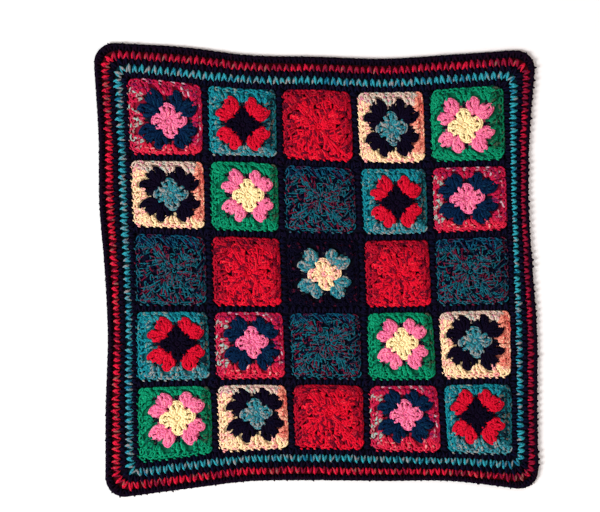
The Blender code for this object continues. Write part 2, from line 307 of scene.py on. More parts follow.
# Loops of the outer round that show through the join: which side, half a loop's width, its length
# and how far inside the edge it starts, in mm, and the radii of its yarn
NEAR_SIDE = 2
LEFT_SIDE = 3
TEETH = (
    (NEAR_SIDE, 1.3, 1.9, 0.4, (1.3, 1.1, 0.5)),
    (LEFT_SIDE, 0.9, 1.5, 0.3, (1.0, 0.8, 0.4)),
)
TEETH_PITCH = 8.0
TEETH_INSET = 6
TEETH_HEIGHTS = (2.9, 3.2, 2.9)
# Through gaps, in half sides from the middle, one of each sort for every quarter, the cloth in dark
# painted shade about them and a spot of painted shade between the first two rounds
GAPS = ((0.0, 0.615), (0.615, 0.615))
GAP_HALF = 0.028
SHADE_HALF = 0.066
SHADE_SPOT = (0.26, 0.26)

# Cloth under the stitches: height and thickness in mm, edges of its cells from the middle outward,
# in half sides, and where its black corners begin
GROUND_HEIGHT = 1.3
GROUND_THICKNESS = 0.9
GROUND_TICKS = (0.028, 0.066, 0.15, 0.23, 0.29, 0.40, 0.46, 0.549, 0.587, 0.643, 0.681, 0.76, 0.86, 1.0)
GROUND_CORNER = 0.80
# How far out the ground of the first and of the second round reaches, in half sides, the second
# in a square whose petals have the size 1
FIRST_ROUND_REACH = 0.46
SECOND_ROUND_REACH = 0.715
# How many mm nearer the outer round counts when the nearest round is sought
OUTER_ROUND_LEAD = 1.5
# Cloth under the border: points along it, then the first and last of its rows, as shares of the way
# from the squares to the outline, and how many there are
BELT_STEPS = 160
BELT_SHARES = (-0.08, 0.985, 12)
# Cloth under the joins: how far it passes the join on either side, the ends of the grid and the
# grid's right end, in metres, and the lift of the upright and of the level strips, in mm
STRIP_SIDE = 0.0012
STRIP_END = 0.014
STRIP_RIGHT_END = 0.012
STRIP_STEPS = 61
UPRIGHT_LIFT = -0.12
LEVEL_LIFT = -0.24
# Painted shade of the cloth under a yarn: which of the yarn's colours, and the least and most share
# of its light, for most yarns and for those named
GROUND_TONE = (0, 0.25, 0.75)
GROUND_TONES = (
    (("cream", "mint_cream", "salmon_cream"), 0, 0.5, 1.0),
    (("dark_teal", "teal_night", "teal_deep"), 2, 0.3, 1.0),
    (("red_mixed", "red_shade"), 0, 0.02, 0.14),
    (("border_red", "border_red_dark", "border_teal", "border_teal_leg"), 0, 0.03, 0.16),
)

# The photo's frame: its width in pixels, the size of a pixel in mm, and its middle on the floor
PHOTO_WIDTH = 600
PIXEL = 1.15
FRAME_MIDDLE = (-0.0186, 0.0160)
FLOOR_SIZE = 6.0
# Lights: name, place and size in metres, power in watts and colour
WHITE = (1.0, 1.0, 1.0)
LIGHTS = (
    ("key", (-3.9, -1.7, 2.7), 2.0, 340.0, WHITE),
    ("near_fill", (0.5, -4.0, 2.9), 2.6, 70.0, WHITE),
    ("far_fill", (0.8, 4.0, 3.1), 2.6, 74.0, WHITE),
    ("warm_side", (4.4, 0.2, 1.7), 2.0, 76.0, (1.0, 0.55, 0.42)),
)
SKY_STRENGTH = 0.14

# Faces round a tube of yarn
SIDES = 5
rng = np.random.default_rng(25)


def linear(colour):
    """Red, green and blue as seen, from 0 to 255, turned into light."""
    channels = [channel / 255 for channel in colour]
    return [c / 12.92 if c <= 0.04045 else ((c + 0.055) / 1.055) ** 2.4 for c in channels]


def tangents_of(points):
    """Unit direction at each point of a closed run of points."""
    run = np.roll(points, -1, axis=0) - np.roll(points, 1, axis=0)
    return run / np.linalg.norm(run, axis=1, keepdims=True)


def left_of(run):
    """Directions turned anticlockwise by a quarter turn."""
    return np.stack([-run[..., 1], run[..., 0]], axis=-1)


def uneven(spread, many, middle=0.0):
    """A column of random values about a middle."""
    return rng.normal(middle, spread, (many, 1))


def along(values, place):
    """Smooth curve through values at even places from -1 to 1, straight beyond them."""
    values = np.array(values)
    last = len(values) - 1
    position = (np.asarray(place) + 1) * last / 2
    index = np.clip(np.floor(position).astype(int), 0, last - 1)
    share = position - index
    start, end = values[index], values[index + 1]
    before = np.where(index > 0, values[np.maximum(index - 1, 0)], 2 * start - end)
    after = np.where(index + 2 <= last, values[np.minimum(index + 2, last)], 2 * end - start)
    bend = share * share
    smooth = start * (1 - 3 * bend + 2 * bend * share) + end * (3 * bend - 2 * bend * share)
    smooth += (end - before) / 2 * (share - 2 * bend + bend * share)
    smooth += (after - start) / 2 * (bend * share - bend)
    return np.where((share < 0) | (share > 1), start + (end - start) * share, smooth)


def line(values, station, offset=0.0):
    """An edge as a function of the place along it."""
    return lambda place: along(values, place / station) + offset


def place_between(edges, a, b):
    """Points at (a, b), each from -1 to 1, between a left, right, near and far edge."""
    left, right, near, far = edges
    x, y = np.zeros_like(a), np.zeros_like(b)
    for _ in range(8):
        x = (left(y) * (1 - a) + right(y) * (1 + a)) / 2
        y = (near(x) * (1 - b) + far(x) * (1 + b)) / 2
    return x, y


def square_edges(row, column):
    """The four edges of one square, half a join inside each seam."""
    last = COUNT - 1
    inset = JOIN_WIDTH / 2
    left, right, near, far = [outward * MM for outward in SIDE_SHIFTS[0][1:]]
    return (
        line(COLUMN_LINES[column], COLUMN_STATION, inset if column > 0 else -left),
        line(COLUMN_LINES[column + 1], COLUMN_STATION, -inset if column < last else right),
        line(ROW_LINES[row + 1], ROW_STATION, inset if row < last else -near),
        line(ROW_LINES[row], ROW_STATION, -inset if row > 0 else far),
    )


def rounded_loop(edges, corner, corner_steps=16, side_steps=90):
    """Closed loop of points on four edges with round corners, clockwise."""
    reach = 1 - corner
    angles = np.radians(np.linspace(0, 90, corner_steps + 1))
    a = reach + corner * np.cos(angles)
    b = reach + corner * np.sin(angles)
    run = np.linspace(reach, -reach, side_steps + 1)[1:-1]
    a, b = np.concatenate([a, run]), np.concatenate([b, np.ones_like(run)])
    loop = []
    for _ in range(4):
        loop.append(np.stack(place_between(edges, a, b), axis=1))
        a, b = -b, a
    return np.concatenate(loop)[::-1]


outline_edges = [line(side, OUTLINE_STATION) for side in OUTLINE]
grid_edges = (
    line(COLUMN_LINES[0], COLUMN_STATION),
    line(COLUMN_LINES[-1], COLUMN_STATION),
    line(ROW_LINES[-1], ROW_STATION),
    line(ROW_LINES[0], ROW_STATION),
)
outside = rounded_loop(outline_edges, OUTLINE_CORNER)
inside = rounded_loop(grid_edges, GRID_CORNER)
shift = -(outside.min(axis=0) + outside.max(axis=0)) / 2
outside += shift
inside += shift


def border_loop(share):
    """The loop at a share of the way from the squares to the outline."""
    loop = inside + (outside - inside) * share
    out = left_of(tangents_of(loop))
    table = np.array(SIDE_SHIFTS)
    left, right, near, far = [np.interp(share, table[:, 0], column) for column in table.T[1:]]
    across = np.where(out[:, 0] < 0, left, right)
    upward = np.where(out[:, 1] < 0, near, far)
    amount = across * out[:, 0] ** 2 + upward * out[:, 1] ** 2
    return loop + out * amount[:, None] * MM


def add_object(name, data):
    """A new object in the scene."""
    made = bpy.data.objects.new(name, data)
    bpy.context.scene.collection.objects.link(made)
    return made


class Yarnwork:
    """A mesh of yarn under way: tubes whose map holds the length along and the way round."""

    def __init__(self, yarns):
        self.yarns = list(dict.fromkeys(yarns))
        self.points, self.corners, self.sizes, self.map, self.slots = [], [], [], [], []
        self.count = 0
        self.strand = 0

    def tubes(self, paths, radius, yarn, closed=False):
        """Adds tubes of one yarn along paths, an array of tubes by points by three."""
        many, steps, _ = paths.shape
        radius = np.broadcast_to(np.asarray(radius, float), (many, steps))
        if closed:
            tangent = np.roll(paths, -1, axis=1) - np.roll(paths, 1, axis=1)
        else:
            tangent = np.gradient(paths, axis=1)
        side = np.cross(tangent, (0.0, 0.0, 1.0))
        side /= np.linalg.norm(side, axis=2, keepdims=True) + 1e-9
        lift = np.cross(side, tangent)
        lift /= np.linalg.norm(lift, axis=2, keepdims=True) + 1e-12
        angle = 2 * np.pi * np.arange(SIDES) / SIDES
        around = np.cos(angle)[:, None] * side[:, :, None] + np.sin(angle)[:, None] * lift[:, :, None]
        rings = paths[:, :, None] + radius[:, :, None, None] * around
        index = self.count + np.arange(many * steps * SIDES).reshape(many, steps, SIDES)
        gaps = np.linalg.norm(np.diff(paths, axis=1), axis=2) / MM
        length = np.concatenate([np.zeros((many, 1)), np.cumsum(gaps, axis=1)], axis=1)
        if closed:
            last = length[:, -1:] + np.linalg.norm(paths[:, :1] - paths[:, -1:], axis=2) / MM
            length = np.concatenate([length, last], axis=1)
            index = np.concatenate([index, index[:, :1]], axis=1)
        near, far = index[:, :-1], index[:, 1:]
        quads = np.stack([near, far, np.roll(far, -1, 2), np.roll(near, -1, 2)], axis=3)
        strand = self.strand + np.arange(many)
        way = 0.01 + 0.98 * np.arange(SIDES + 1) / SIDES
        across = strand[:, None, None] + np.broadcast_to(way, (many, steps, SIDES + 1))
        bounds = (length[:, :-1, None], length[:, 1:, None], across[:, :1, :-1], across[:, :1, 1:])
        start, stop, low, high = [np.broadcast_to(bound, quads.shape[:3]) for bound in bounds]
        quad_map = np.stack([start, low, stop, low, stop, high, start, high], axis=3)
        self.points.append(rings.reshape(-1, 3))
        self.corners.append(quads.reshape(-1))
        self.map.append(quad_map.reshape(-1, 2))
        self.sizes.append(np.full(quads.size // 4, 4))
        slot = self.yarns.index(yarn)
        self.slots.append(np.full(quads.size // 4, slot))
        if not closed:
            ends = np.concatenate([index[:, 0], index[:, -1, ::-1]])
            end_length = np.concatenate([length[:, 0], length[:, -1]])
            end_strand = np.concatenate([strand, strand]) + 0.5
            end_map = np.stack([end_length, end_strand], axis=1)
            self.corners.append(ends.reshape(-1))
            self.map.append(np.repeat(end_map, SIDES, axis=0))
            self.sizes.append(np.full(len(ends), SIDES))
            self.slots.append(np.full(len(ends), slot))
        self.count += many * steps * SIDES
        self.strand += many

    def piece(self, name, materials):
        """The finished object."""
        mesh = bpy.data.meshes.new(name)
        points, corners = np.concatenate(self.points), np.concatenate(self.corners)
        sizes, slots = np.concatenate(self.sizes), np.concatenate(self.slots)
        mesh.vertices.add(len(points))
        mesh.vertices.foreach_set("co", points.astype(np.float32).ravel())
        mesh.loops.add(len(corners))
        mesh.loops.foreach_set("vertex_index", corners.astype(np.int32))
        mesh.polygons.add(len(sizes))
        starts = np.concatenate([[0], np.cumsum(sizes)[:-1]])
        mesh.polygons.foreach_set("loop_start", starts.astype(np.int32))
        for yarn in self.yarns:
            mesh.materials.append(materials[yarn])
        mesh.polygons.foreach_set("material_index", slots.astype(np.int32))
        mesh.polygons.foreach_set("use_smooth", np.ones(len(sizes), bool))
        yarn_map = mesh.uv_layers.new(name="yarn")
        yarn_map.data.foreach_set("uv", np.concatenate(self.map).astype(np.float32).ravel())
        mesh.update(calc_edges=True)
        mesh.validate()
        return add_object(name, mesh)


def turned(points, quarters):
    """Points turned clockwise by quarter turns."""
    points = np.array(points, float)
    for _ in range(quarters):
        points = np.stack([points[..., 1], -points[..., 0]], axis=-1)
    return points


def all_round(points):
    """Points of one quarter for all four."""
    return np.concatenate([turned(points, quarter) for quarter in range(4)])


def swirled(points, degrees):
    """Points turned anticlockwise about the middle, as far out as before in the larger of x and y."""
    angle = math.radians(degrees)
    x, y = points[..., 0], points[..., 1]
    turned_x = x * math.cos(angle) - y * math.sin(angle)
    turned_y = x * math.sin(angle) + y * math.cos(angle)
    before = np.maximum(abs(x), abs(y))
    after = np.maximum(abs(turned_x), abs(turned_y))
    return np.stack([turned_x, turned_y], axis=-1) * (before / after)[..., None]


def cluster_places(round_index, petal_size):
    """Feet and heads of a round's stitches over all four quarters, with petals of a size."""
    feet, heads = [], []
    size = petal_size if round_index == 1 else 1.0
    for quarter in range(4):
        for foot, cluster in QUARTER[round_index]:
            foot = turned(foot, quarter)
            cluster = foot + size * (turned(cluster, quarter) - foot)
            feet.append(foot + FOOT_SPREAD[round_index] * (cluster - cluster.mean(axis=0)))
            heads.append(cluster)
    return np.concatenate(feet), np.concatenate(heads)


def side_of(places):
    """Which side of a square places lie on: far, right, near or left, as 0 to 3."""
    angle = np.arctan2(places[..., 0], places[..., 1])
    return np.round(angle / (np.pi / 2)).astype(int) % 4


def square_stitches(work, yarns, side_yarns, petal_size, loose, lay):
    """All stitches of one square. lay maps flat points in mm, with a height, onto the blanket."""
    head_turn = HEAD_TURN + rng.normal(0, TURN_UNEVEN)
    for round_index in range(len(QUARTER)):
        feet, heads = cluster_places(round_index, petal_size)
        last = round_index == len(QUARTER) - 1
        if last:
            order = np.concatenate([heads, all_round(OUTER_CHAINS)])
            places = order[np.argsort(-np.arctan2(order[:, 1], order[:, 0]))]
        sides = side_of(heads)
        heads = swirled(heads, head_turn) + rng.normal(0, HEAD_UNEVEN, heads.shape)
        feet = swirled(feet, FOOT_TURN) + rng.normal(0, FOOT_UNEVEN, feet.shape)
        radius, wind = POSTS[round_index]
        if last:
            along_run = tangents_of(swirled(places, head_turn))
            loop_sides = side_of(places)
            places = swirled(places, head_turn) + rng.normal(0, CHAIN_UNEVEN, places.shape)
            # Darker side yarns paint the shade of far and right sides, and a lighter one paints the
            # light on A's near side
            for side, yarn in enumerate(side_yarns):
                mine = sides == side
                if loose:
                    add_loose_posts(work, yarn, feet[mine], heads[mine], lay, loose, OUTER_DROP)
                else:
                    add_posts(work, yarn, feet[mine], heads[mine], lay, radius, wind, OUTER_DROP)
                mine = loop_sides == side
                directions = along_run[mine]
                loop_radius = loose or LOOP_RADIUS
                add_loops(work, yarn, places[mine], directions, lay, OUTER_LOOP_HEIGHT, loop_radius)
            continue
        yarn = yarns[round_index]
        filler_feet, filler_heads = [all_round([end]) for end in FILLERS[round_index]]
        if loose:
            feet = np.concatenate([feet, filler_feet])
            heads = np.concatenate([heads, filler_heads])
            add_loose_posts(work, yarn, feet, heads, lay, loose, INNER_DROP)
            post = (heads - feet) / np.linalg.norm(heads - feet, axis=1, keepdims=True)
            add_loops(work, yarn, heads, turned(post, 1), lay, INNER_LOOP_HEIGHT, loose)
            continue
        add_posts(work, yarn, feet, heads, lay, radius, wind, INNER_DROP)
        add_cords(work, yarn, feet, heads, lay)
        filler_heads = filler_heads * (petal_size if round_index == 1 else 1.0)
        for sway in (-FILLER_SWAY, FILLER_SWAY):
            aside = sway * turned(filler_heads, 1) / FILLER_FAR
            add_posts(
                work, yarn, filler_feet, filler_heads + aside, lay, radius, wind,
                FILLER_DROP, wrapped=False, low=0.3,
            )
    add_ring(work, yarns[0], lay, loose)
    add_teeth(work, side_yarns, lay)


def add_ring(work, yarn, lay, loose):
    """The ring that a square is worked from."""
    ring_radius, height, yarn_radius = RING
    angle = np.linspace(0, 2 * np.pi, RING_STEPS + 1)[:-1]
    ring = np.stack([ring_radius * np.cos(angle), ring_radius * np.sin(angle)], axis=1)[None]
    level = np.full(ring.shape[:2], height)
    work.tubes(lay(ring, level), (loose or yarn_radius) * MM, yarn, closed=True)


def post_lines(feet, heads, share):
    """Runs of posts, unit directions along and to the left of them, and points at shares of them."""
    run = heads - feet
    length = np.linalg.norm(run, axis=1, keepdims=True)
    return run, run / length, left_of(run) / length, feet[:, None] + run[:, None] * share[:, None]


def add_posts(work, yarn, feet, heads, lay, radius, wind, drop, wrapped=True, low=0.0):
    """The upright part of each stitch: two strands twisted together and a wrap across them."""
    many = len(feet)
    share = np.linspace(0, 1, POST_STEPS)
    run, forward, side, middle = post_lines(feet, heads, share)
    swell = np.sin(np.pi * np.clip(share * 1.4, 0, 0.5))
    rise = POST_HEIGHT - low + POST_RISE * swell - drop * share ** 3
    phase = rng.uniform(0, 2 * np.pi, many)
    radii = uneven(0.05, many, radius) * MM
    for strand in (0.0, np.pi):
        turn = phase[:, None] + strand + 2 * np.pi * TWIST_TURNS * share
        flat = middle + wind * np.cos(turn)[:, :, None] * side[:, None]
        height = np.maximum(rise + TWIST_LIFT * np.sin(turn), radius + 0.3)
        work.tubes(lay(flat, height), radii, yarn)
    if not wrapped:
        return
    over = np.linspace(-1, 1, WRAP_STEPS)
    centre = feet + run * uneven(0.05, many, WRAP_PLACE)
    flat = (
        centre[:, None]
        + 2.1 * over[:, None] * side[:, None]
        + 1.5 * over[:, None] * forward[:, None]
    )
    height = 3.1 + 1.35 * np.cos(over * np.pi / 2) + uneven(0.1, many)
    work.tubes(lay(flat, height), 1.05 * MM, yarn)


def add_loose_posts(work, yarn, feet, heads, lay, radius, drop):
    """The upright part of stitches whose strands lie apart."""
    many = len(feet)
    share = np.linspace(0, 1, LOOSE_STEPS)
    run, forward, side, middle = post_lines(feet, heads, share)
    swell = np.sin(np.pi * np.clip(share * 1.3, 0, 0.5))
    rise = LOOSE_HEIGHT + LOOSE_RISE * swell - drop * share ** 3
    for offset in (-LOOSE_ASIDE, 0.0, LOOSE_ASIDE):
        start = offset + uneven(0.5, many)
        end = offset + uneven(0.9, many)
        aside = start + (end - start) * share + uneven(0.5, many) * np.sin(np.pi * share)
        flat = middle + aside[:, :, None] * side[:, None]
        height = np.maximum(rise + uneven(0.3, many), 1.3 * radius + 0.4)
        radii = radius * uneven(0.08, many, 1.0) * MM
        work.tubes(lay(flat, height), radii, yarn)
    over = np.linspace(-1, 1, WRAP_STEPS)
    centre = feet + run * uneven(0.08, many, WRAP_PLACE)
    flat = (
        centre[:, None]
        + 2.4 * over[:, None] * side[:, None]
        + rng.normal(0.8, 0.9, (many, 1, 1)) * over[:, None] * forward[:, None]
    )
    height = 3.2 + 0.9 * np.cos(over * np.pi / 2) + uneven(0.1, many)
    work.tubes(lay(flat, height), radius * MM, yarn)


def add_cords(work, yarn, feet, heads, lay):
    """Two strands along the rim of each cluster of three stitches."""
    feet = feet.reshape(-1, 3, 2)
    heads = heads.reshape(-1, 3, 2)
    run = heads - feet
    forward = run / np.linalg.norm(run, axis=2, keepdims=True)
    for push, level, radius in RIM_CORDS:
        rim = heads + push * forward
        before = heads[:, :1] - RIM_REACH * run[:, :1] + 0.2 * (rim[:, :1] - rim[:, 1:2])
        after = heads[:, 2:] - RIM_REACH * run[:, 2:] + 0.2 * (rim[:, 2:] - rim[:, 1:2])
        knots = np.concatenate([before, rim, after], axis=1)
        place = np.linspace(-1, 1, RIM_STEPS)
        paths = np.array([np.stack([along(row, place) for row in knot.T], axis=1) for knot in knots])
        wave = 0.25 * np.cos(np.arange(RIM_STEPS) * 1.9)
        height = level + wave + uneven(0.08, len(paths))
        height = height - 0.9 * abs(place) ** 4
        work.tubes(lay(paths, height), radius * MM, yarn)


def add_loops(work, yarn, places, along_run, lay, height, radius):
    """The loop on top of each stitch, lying in a unit direction along its round."""
    out = left_of(along_run)
    angle = 2 * np.pi * np.arange(LOOP_STEPS) / LOOP_STEPS
    size = uneven(0.06, len(places), 1.0)
    forward = LOOP_LENGTH * np.cos(angle) * size
    outward = LOOP_OUT + LOOP_WIDTH * np.sin(angle) * (1 - 0.3 * np.cos(angle)) * size
    flat = (
        places[:, None]
        + forward[:, :, None] * along_run[:, None]
        + outward[:, :, None] * out[:, None]
    )
    level = height + 0.5 * np.cos(angle) + uneven(0.12, len(places))
    work.tubes(lay(flat, level), radius * MM, yarn, closed=True)


def add_teeth(work, side_yarns, lay):
    """Loops of the outer round that show through the join along the near and left edges."""
    reach = HALF_SQUARE - TEETH_INSET
    places = np.arange(-reach, reach, TEETH_PITCH) + rng.normal(0, 0.4)
    many = len(places)
    step = np.array([-1.0, 0.0, 1.1])
    for side, width, length, start, radii in TEETH:
        beside = places[:, None] + width * step + uneven(0.5, many)
        out = -HALF_SQUARE + start - length * (step + 1) / 2.1 + uneven(0.25, many)
        flat = np.stack([beside, out] if side == NEAR_SIDE else [out, beside], axis=-1)
        height = np.broadcast_to(TEETH_HEIGHTS, out.shape)
        radius = np.broadcast_to(radii, out.shape) * MM
        work.tubes(lay(flat, height), radius, side_yarns[side])


def square_lay(row, column, puff):
    """The map from a flat square in mm onto its place in the blanket."""
    edges = square_edges(row, column)
    right, up = CENTRE_RIGHT[row][column] * MM, CENTRE_UP[row][column] * MM

    def lay(flat, height):
        a, b = flat[..., 0] / HALF_SQUARE, flat[..., 1] / HALF_SQUARE
        x, y = place_between(edges, a, b)
        crown = np.clip(1 - a ** 4, 0, 1) * np.clip(1 - b ** 4, 0, 1)
        x, y = x + shift[0] + right * crown, y + shift[1] + up * crown
        return np.stack([x, y, (height + puff * crown) * MM], axis=-1)

    return lay


def evenly(path, pitch, closed):
    """Even places along a path: points, unit directions, and which of its points they lie at."""
    if closed:
        path = np.concatenate([path, path[:1]])
    reach = np.concatenate([[0], np.cumsum(np.linalg.norm(np.diff(path, axis=0), axis=1))])
    many = int(round(reach[-1] / pitch))
    stops = (np.arange(many) + 0.5) * reach[-1] / many

    def read(stops):
        return np.stack([np.interp(stops, reach, path[:, axis]) for axis in (0, 1)], axis=1)

    run = read(stops + pitch / 2) - read(stops - pitch / 2)
    run /= np.linalg.norm(run, axis=1, keepdims=True)
    return read(stops), run, np.interp(stops, reach, np.arange(len(path)))


def single_stitches(work, points, run, pitch, reach, lift, strands):
    """A row of single stitches, each of a few fat strands across the row, each with its yarn."""
    many = len(points)
    points = points + rng.normal(0, PLACE_UNEVEN * MM, points.shape)
    run = run + uneven(TILT_UNEVEN, many) * left_of(run)
    out = left_of(run)
    pitch = pitch * uneven(PITCH_UNEVEN, many, 1.0)
    for yarn, strand in strands:
        ahead, across, height, radius = np.array(strand).T
        across = across * (1 + uneven(REACH_UNEVEN, many))
        ahead = ahead + uneven(LEAN_UNEVEN, many) * across
        flat = (
            points[:, None]
            + (pitch * ahead)[:, :, None] * run[:, None]
            + (reach[:, None] * across)[:, :, None] * out[:, None]
        )
        level = (height + lift + uneven(HEIGHT_UNEVEN, many)) * MM
        radii = radius * uneven(RADIUS_UNEVEN, many, 1.0) * MM
        work.tubes(np.concatenate([flat, level[:, :, None]], axis=2), radii, yarn)


def edge_cords(work, yarn):
    """Cords along the outline, which close the last round."""
    width = np.linalg.norm(outside - inside, axis=1, keepdims=True)
    for inset, height, radius in EDGE_CORDS:
        path = outside + (inside - outside) * inset * MM / width
        points, run, _ = evenly(path, BORDER_STITCH / EDGE_STEPS, True)
        many = len(points)
        turn = 2 * np.pi * np.arange(many) / EDGE_STEPS
        wave = EDGE_WAVE * np.sin(turn) + rng.normal(0, 0.10, many)
        points = points + left_of(run) * wave[:, None] * MM
        level = np.full((many, 1), height * MM) + uneven(0.08 * MM, many)
        work.tubes(np.concatenate([points, level], axis=1)[None], radius * MM, yarn, closed=True)


def border_round(inner_share, share, reach_share, lift, yarns):
    """One border round, worked clockwise."""
    middle = border_loop(inner_share + share / 2)
    width = np.linalg.norm(outside - inside, axis=1) * share
    points, run, place = evenly(middle, BORDER_STITCH, True)
    local = np.interp(place, np.arange(len(width) + 1), np.append(width, width[0])) * reach_share
    leaf, leg, far_leaf, right = yarns
    work = Yarnwork(yarns)
    on_right = run[:, 1] < -STRAIGHT
    on_far = run[:, 0] > STRAIGHT
    # A round's far leaves and right side may take a darker yarn: painted shade
    for mine, strands in (
        (~on_right & ~on_far, [(leg, SINGLE_LEG), (leaf, SINGLE_LEAF)]),
        (on_far, [(leg, SINGLE_LEG), (far_leaf, SINGLE_LEAF)]),
        (on_right, [(right, SINGLE_LEG), (right, SINGLE_LEAF)]),
    ):
        single_stitches(work, points[mine], run[mine], BORDER_STITCH, local[mine], lift, strands)
    return work


def join_rows():
    """The black rows that join the squares."""
    work = Yarnwork(["blue_black"])
    strands = [("blue_black", SINGLE_LEG), ("blue_black", SINGLE_LEAF)]
    near, far = ROW_LINES[-1], ROW_LINES[0]
    left, right = COLUMN_LINES[0], COLUMN_LINES[-1]
    for index in range(1, COUNT):
        place = 2 * index / COUNT - 1
        y = np.linspace(along(near, place), along(far, place), 200)
        upright = np.stack([line(COLUMN_LINES[index], COLUMN_STATION)(y), y], axis=1)
        x = np.linspace(along(left, -place), along(right, -place), 200)
        level = np.stack([x, line(ROW_LINES[index], ROW_STATION)(x)], axis=1)
        for path in (upright, level):
            points, run, _ = evenly(path + shift, JOIN_STITCH, False)
            reach = np.full(len(points), JOIN_WIDTH * JOIN_REACH)
            single_stitches(work, points, run, JOIN_STITCH, reach, JOIN_LIFT, strands)
    return work


def new_material(name):
    """A material, a function that adds a node to it and one that fills the inputs of its surface."""
    material = bpy.data.materials.new(name)
    material.use_nodes = True
    tree = material.node_tree

    def fill(made, inputs):
        for key, value in inputs.items():
            if isinstance(value, bpy.types.NodeSocket):
                tree.links.new(value, made.inputs[key])
            else:
                made.inputs[key].default_value = value

    def node(kind, inputs=None, **settings):
        made = tree.nodes.new(kind)
        for key, value in settings.items():
            setattr(made, key, value)
        fill(made, inputs or {})
        return made

    def surface(inputs):
        fill(tree.nodes["Principled BSDF"], inputs)

    return material, node, surface


def noise(node, place, scale, detail):
    """Noise at a place."""
    return node("ShaderNodeTexNoise", {"Vector": place, "Scale": scale, "Detail": detail}).outputs[0]


def mixed(node, share, first, other):
    """A colour between two, nearer the second where the share is larger."""
    return node("ShaderNodeMix", {0: share, 6: first, 7: other}, data_type="RGBA").outputs[2]


def yarn_material(name, main, second, third, second_share, third_share, apart, plied):
    """Plied wool whose colour changes along the yarn."""
    material, node, surface = new_material(f"yarn_{name}")
    seed = float(sum(ord(letter) for letter in name) % 17)

    def math_node(operation, first, other=0.0, clamp=False):
        made = node("ShaderNodeMath", {0: first, 1: other}, operation=operation, use_clamp=clamp)
        return made.outputs[0]

    def times(first, other):
        return math_node("MULTIPLY", first, other)

    def vector(x, y, z):
        return node("ShaderNodeCombineXYZ", {0: x, 1: y, 2: z}).outputs[0]

    split = node("ShaderNodeSeparateXYZ", {0: node("ShaderNodeUVMap", uv_map="yarn").outputs[0]})
    length, across = split.outputs[0], split.outputs[1]
    strand = math_node("FLOOR", across)
    around = math_node("FRACT", across)
    turn = math_node("ADD", times(length, PLY_TURNS), around)
    ply = math_node("SINE", times(turn, 2 * math.pi * PLIES))
    drift = vector(times(strand, apart), times(length, SLOW_CHANGE), seed)
    patch = vector(
        times(length, QUICK_CHANGE), times(strand, 3.7), math_node("ADD", times(around, 0.5), seed),
    )

    # The noise lies about 0.5, so a colour has half of the yarn at a share of about 0.5
    def mask(level, share, sharpness):
        raised = math_node("ADD", level, times(ply, 0.10 * plied))
        above = math_node("SUBTRACT", raised, 0.66 - 0.34 * share)
        return math_node("MULTIPLY", above, sharpness, clamp=True)

    most, slow, quick = [(*linear(colour), 1.0) for colour in (main, second, third)]
    tone = mixed(node, mask(noise(node, drift, 1.0, 1.0), second_share, 12.0), most, slow)
    tone = mixed(node, mask(noise(node, patch, 1.0, 1.0), third_share, 10.0), tone, quick)
    fibre = vector(times(length, 0.5), times(around, 9.0), strand)
    relief = math_node("ADD", times(ply, 0.5), noise(node, fibre, 2.0, 2.0))
    bump = node("ShaderNodeBump", {"Strength": 0.7, "Distance": 0.0005, "Height": relief}).outputs[0]
    surface({"Base Color": tone, "Roughness": 0.9, "Specular IOR Level": 0.04, "Normal": bump})
    return material


def ground_material(name, colour, low, high):
    """The inside of the crochet in painted shade, between two shares of its yarn's light."""
    material, node, surface = new_material(f"ground_{name}")
    fine = noise(node, node("ShaderNodeTexCoord").outputs["Object"], 700.0, 2.0)
    dark, pale = [(*[share * c for c in linear(colour)], 1.0) for share in (low, high)]
    tone = mixed(node, fine, dark, pale)
    bump = node("ShaderNodeBump", {"Strength": 0.5, "Distance": 0.0004, "Height": fine}).outputs[0]
    surface({"Base Color": tone, "Roughness": 0.95, "Specular IOR Level": 0.1, "Normal": bump})
    return material


def nearest_round(a, b, petal_size):
    """Which round's stitches lie nearest to a place on a square."""
    if max(abs(a), abs(b)) > SECOND_ROUND_REACH * petal_size:
        return 2
    spot = np.array([a, b]) * HALF_SQUARE
    away = []
    for index in range(len(QUARTER)):
        feet, heads = cluster_places(index, petal_size)
        heads = swirled(heads, HEAD_TURN)
        for foot, head in FILLERS[index:index + 1]:
            feet = np.concatenate([feet, all_round([foot])])
            heads = np.concatenate([heads, all_round([head])])
        run = heads - feet
        share = np.clip(((spot - feet) * run).sum(axis=1) / (run * run).sum(axis=1), 0, 1)
        away.append(np.linalg.norm(feet + run * share[:, None] - spot, axis=1).min())
    away[2] -= OUTER_ROUND_LEAD
    return int(np.argmin(away))


class Cloth:
    """The thin sheet under way: patches of faces, each face in the cloth of one yarn."""

    def __init__(self, names):
        self.names = names
        self.points, self.faces, self.slots = [], [], []

    def add_patch(self, places, name_at, keep=lambda i, j: True):
        """Adds the faces between rows and columns of places, where they are kept."""
        rows, columns = places.shape[:2]
        first = len(self.points)
        self.points.extend(places.reshape(-1, 3).tolist())
        for i in range(rows - 1):
            for j in range(columns - 1):
                if keep(i, j):
                    corner = first + i * columns + j
                    self.faces.append((corner, corner + 1, corner + columns + 1, corner + columns))
                    self.slots.append(self.names.index(name_at(i, j)))


